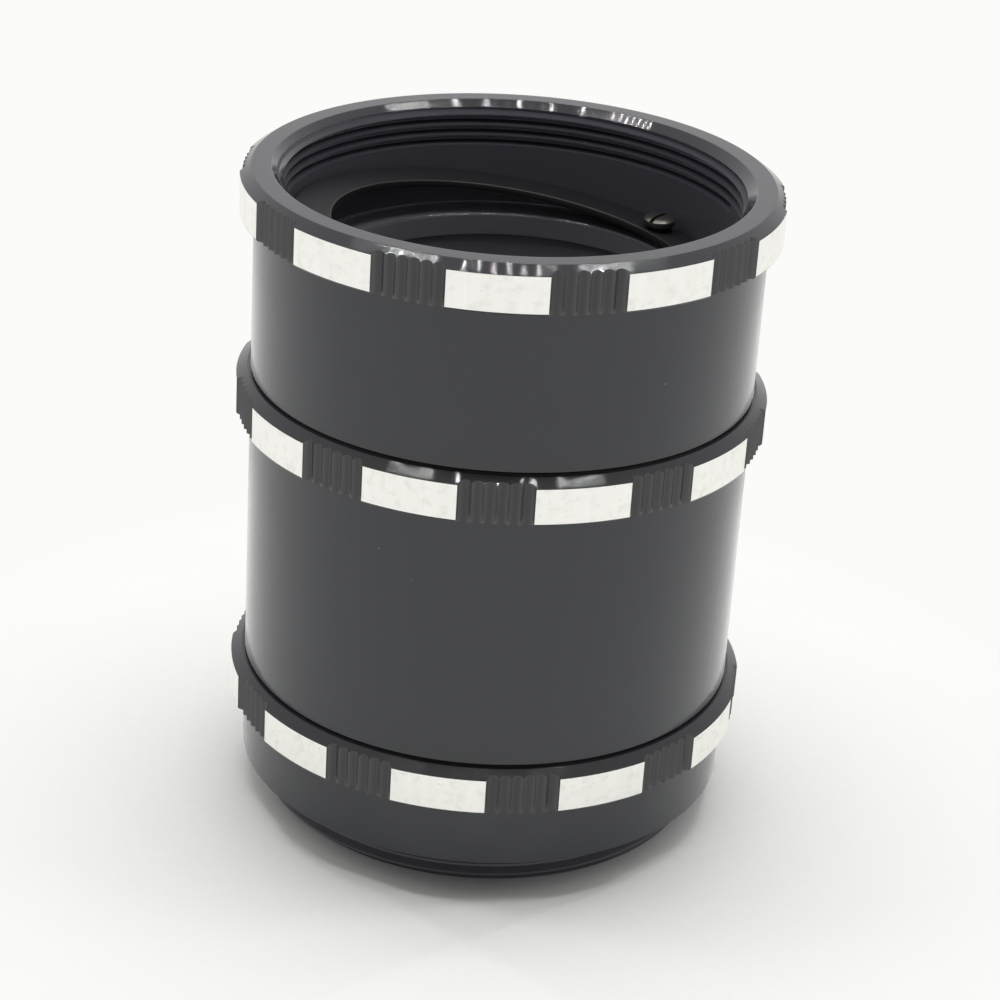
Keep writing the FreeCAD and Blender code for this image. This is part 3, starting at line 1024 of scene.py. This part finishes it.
def plain_screw(top_z):
    """A domed screw without a slot, on the axis, with its seat at height zero."""
    head_z = top_z - SCREW_HEAD_HEIGHT
    section = [
        (0, -SCREW_HOLD),
        (SCREW_RADIUS, -SCREW_HOLD),
        (SCREW_RADIUS, head_z),
        (SCREW_HEAD_RADIUS, head_z),
        (SCREW_HEAD_RADIUS, top_z - SCREW_DOME),
        *((share * SCREW_HEAD_RADIUS, top_z - drop * SCREW_DOME) for share, drop in SCREW_CROWN),
        (0, top_z),
    ]
    piece = turned("plain_screw", section, SMALL_EDGE_BREAK, SMALL_STEPS)
    piece.data.materials.append(steel)
    return piece


def slotted_screw(blank, name, spot, seat_z, top_z, slot_turn):
    """A copy of the plain screw, with its slot sawn, in its place on the seat."""
    screw = copied(blank, name)
    bpy.ops.mesh.primitive_cube_add(size=1, location=(0, 0, top_z), rotation=(0, 0, slot_turn))
    saw = bpy.context.object
    saw.scale = (SLOT_WIDTH, SAW_LENGTH, 2 * SLOT_DEPTH)
    cut(screw, saw)
    screw.location = (*spot, seat_z)
    place(screw)
    return screw


seat_heights = {tube: frame_heights(tube)[1] - SEAT_DEPTH for tube in TUBES}
top_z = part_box(TOP_TUBE + "_pivot_screws")[1].z / MM - seat_heights[TOP_TUBE]
blank = plain_screw(top_z)
for tube, seat_z in seat_heights.items():
    name = tube + "_slotted_screws"
    places = zip(PIVOT_SPOTS, SLOT_TURNS)
    pair = [slotted_screw(blank, name, spot, seat_z, top_z, angle) for spot, angle in places]
    for screw in pair:
        screw.select_set(True)
    bpy.context.view_layer.objects.active = pair[0]
    bpy.ops.object.join()
    finished(pair[0], tube + "_tube", tube + "_pivot_screws")
bpy.data.objects.remove(blank)

# %% [markdown]
# A push pin has a rounded foot, which the camera or the ring of the tube below pushes, and a wider
# domed head under its own ring, which keeps it from dropping out. Two cylinders could stand for it,
# but the tilted ring rests on the dome, so the pin is turned from one section like the rest. The
# pins differ in length, so each tube's pin is turned by itself.

# %% Push pins
PIN_RADIUS = 0.9
PIN_HEAD_RADIUS = 1.3
PIN_HEAD_RISE = 3.05
PIN_FOOT_ROUND = 0.3
PIN_DOME = 0.5
# Points of the dome, as shares of the head's radius and of the dome's height below the top
PIN_CROWN = ((0.75, 0.4), (0.35, 0.05))


def push_pin(tube):
    """One round pin in its hole, with its head at the height of the raised ring."""
    low_z, high_z = [corner.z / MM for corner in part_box(tube + "_push_pin")]
    head_z = frame_heights(tube)[1] - SEAT_DEPTH + PIN_HEAD_RISE
    section = [
        (0, low_z),
        (PIN_RADIUS - PIN_FOOT_ROUND, low_z),
        (PIN_RADIUS, low_z + PIN_FOOT_ROUND),
        (PIN_RADIUS, head_z),
        (PIN_HEAD_RADIUS, head_z),
        (PIN_HEAD_RADIUS, high_z - PIN_DOME),
        *((share * PIN_HEAD_RADIUS, high_z - drop * PIN_DOME) for share, drop in PIN_CROWN),
        (0, high_z),
    ]
    pin = turned(tube + "_round_pin", section, SMALL_EDGE_BREAK, SMALL_STEPS)
    pin.data.materials.append(steel)
    pin.location = (*pin_spot(tube), 0)
    place(pin)
    return pin


for tube in TUBES:
    finished(push_pin(tube), tube + "_pin", tube + "_push_pin")
